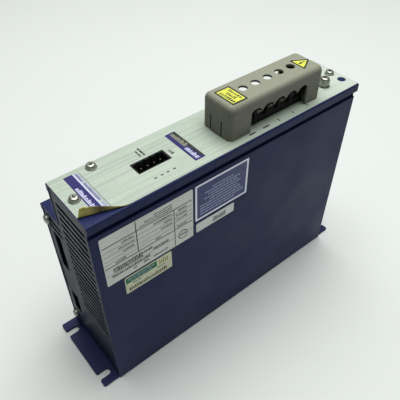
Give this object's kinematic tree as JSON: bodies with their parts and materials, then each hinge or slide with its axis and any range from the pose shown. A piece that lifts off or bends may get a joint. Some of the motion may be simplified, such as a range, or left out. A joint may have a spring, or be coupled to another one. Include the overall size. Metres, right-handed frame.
{
  "type": "servo drive",
  "caption": "Slim panel-mount servo drive: stepped blue sheet steel case with vented ends, a pale connector panel and a lift-off grey terminal cover.",
  "frame": {"origin": "bottom centre of the whole drive, on the mounting face", "axes": "+X along the long side towards the power terminals, +Y from the near side sheet towards the heat sink side, +Z out of the mounting face towards the connector panel"},
  "size_m": [0.273, 0.075, 0.2089],
  "materials": {
    "blue_paint": "dark blue semi-gloss powder coat with a fine orange-peel texture",
    "end_paint": "greyed dark blue powder coat on the vented end walls",
    "front_film": "pale printed polyester film with fine brushed lines",
    "film_back": "film with amber adhesive on its underside",
    "cover_plastic": "warm grey moulded plastic with a fine texture",
    "black_plastic": "black glass-filled moulding",
    "zinc_screw": "bright zinc plated steel",
    "tin_plate": "tin plated copper",
    "gold_pin": "tin plated brass pins",
    "yellow_label": "yellow vinyl with a black border",
    "silver_label": "silver grey polyester label with fine printing",
    "blue_label": "dark blue label with a white border",
    "white_label": "white paper sticker",
    "green_label": "cream sticker with a green band",
    "sink_aluminium": "extruded aluminium",
    "bracket_steel": "zinc plated steel sheet",
    "circuit_board": "green solder mask on glass epoxy",
    "module_case": "moulded epoxy case",
    "can_sleeve": "shrink sleeve on an aluminium can",
    "relay_case": "moulded relay case",
    "ferrite": "dark sintered ferrite with tape",
    "resistor_ceramic": "white cement resistor body",
    "coil_copper": "enamelled copper winding",
    "fan_plastic": "black fan moulding"
  },
  "bodies": {
    "housing": {"mounting_plate": "blue_paint", "left_end_wall": "end_paint", "right_end_wall": "end_paint", "near_side_panel": "blue_paint", "far_side_panel": "blue_paint", "shelf_cover": "blue_paint", "front_panel": "blue_paint", "front_film": "front_film", "lifted_corner": "film_back", "panel_screws": "zinc_screw", "panel_washers": "zinc_screw", "end_screws": "zinc_screw", "earth_washers": "zinc_screw", "earth_nut": "zinc_screw", "earth_screw": "zinc_screw", "header_housing": "black_plastic", "header_pins": "gold_pin", "terminal_block": "black_plastic", "terminal_plates": "tin_plate", "rating_label": "silver_label", "caution_label": "blue_label", "serial_sticker": "white_label", "inspection_sticker": "green_label", "heat_sink": "sink_aluminium", "heat_sink_brackets": "bracket_steel", "power_module": "module_case", "rectifier_bridge": "module_case", "module_screws": "zinc_screw", "power_board": "circuit_board", "control_board": "circuit_board", "board_standoffs": "bracket_steel", "board_screws": "zinc_screw", "bus_capacitors": "can_sleeve", "inrush_relay": "relay_case", "current_sensors": "relay_case", "brake_resistor": "resistor_ceramic", "supply_transformer": "ferrite", "filter_choke": "coil_copper", "board_link": "black_plastic", "control_chips": "module_case", "front_board": "circuit_board", "panel_spacers": "bracket_steel", "front_board_screws": "zinc_screw", "front_board_link": "black_plastic", "fan_frame": "fan_plastic", "fan_coils": "coil_copper", "fan_bracket": "bracket_steel", "fan_screws": "zinc_screw"},
    "cover": {"terminal_cover": "cover_plastic", "cover_warning_label": "yellow_label", "cover_hazard_label": "yellow_label"},
    "fan_wheel": {"fan_rotor": "fan_plastic"},
    "terminal_screw_1": {"terminal_screw_1": "zinc_screw"},
    "terminal_screw_2": {"terminal_screw_2": "zinc_screw"},
    "terminal_screw_3": {"terminal_screw_3": "zinc_screw"},
    "terminal_screw_4": {"terminal_screw_4": "zinc_screw"},
    "terminal_screw_5": {"terminal_screw_5": "zinc_screw"}
  },
  "joints": [
    {"name": "cover_lift", "type": "slide", "parent": "housing", "child": "cover", "axis": [0, 0, 1], "range_m": [0, 0.06]},
    {"name": "terminal_screw_1_turn", "type": "hinge", "parent": "housing", "child": "terminal_screw_1", "pos_m": [0.0156, -0.01555, 0.1873], "axis": [0, 0, 1], "range_deg": [0, 1125]},
    {"name": "terminal_screw_2_turn", "type": "hinge", "parent": "housing", "child": "terminal_screw_2", "pos_m": [0.0272, -0.01555, 0.1873], "axis": [0, 0, 1], "range_deg": [0, 1125]},
    {"name": "terminal_screw_3_turn", "type": "hinge", "parent": "housing", "child": "terminal_screw_3", "pos_m": [0.0388, -0.01555, 0.1873], "axis": [0, 0, 1], "range_deg": [0, 1125]},
    {"name": "terminal_screw_4_turn", "type": "hinge", "parent": "housing", "child": "terminal_screw_4", "pos_m": [0.0504, -0.01555, 0.1873], "axis": [0, 0, 1], "range_deg": [0, 1125]},
    {"name": "terminal_screw_5_turn", "type": "hinge", "parent": "housing", "child": "terminal_screw_5", "pos_m": [0.062, -0.01555, 0.1873], "axis": [0, 0, 1], "range_deg": [0, 1125]},
    {"name": "fan_spin", "type": "hinge", "parent": "housing", "child": "fan_wheel", "pos_m": [0.11, -0.01245, 0.084], "axis": [1, 0, 0], "continuous": true}
  ]
}
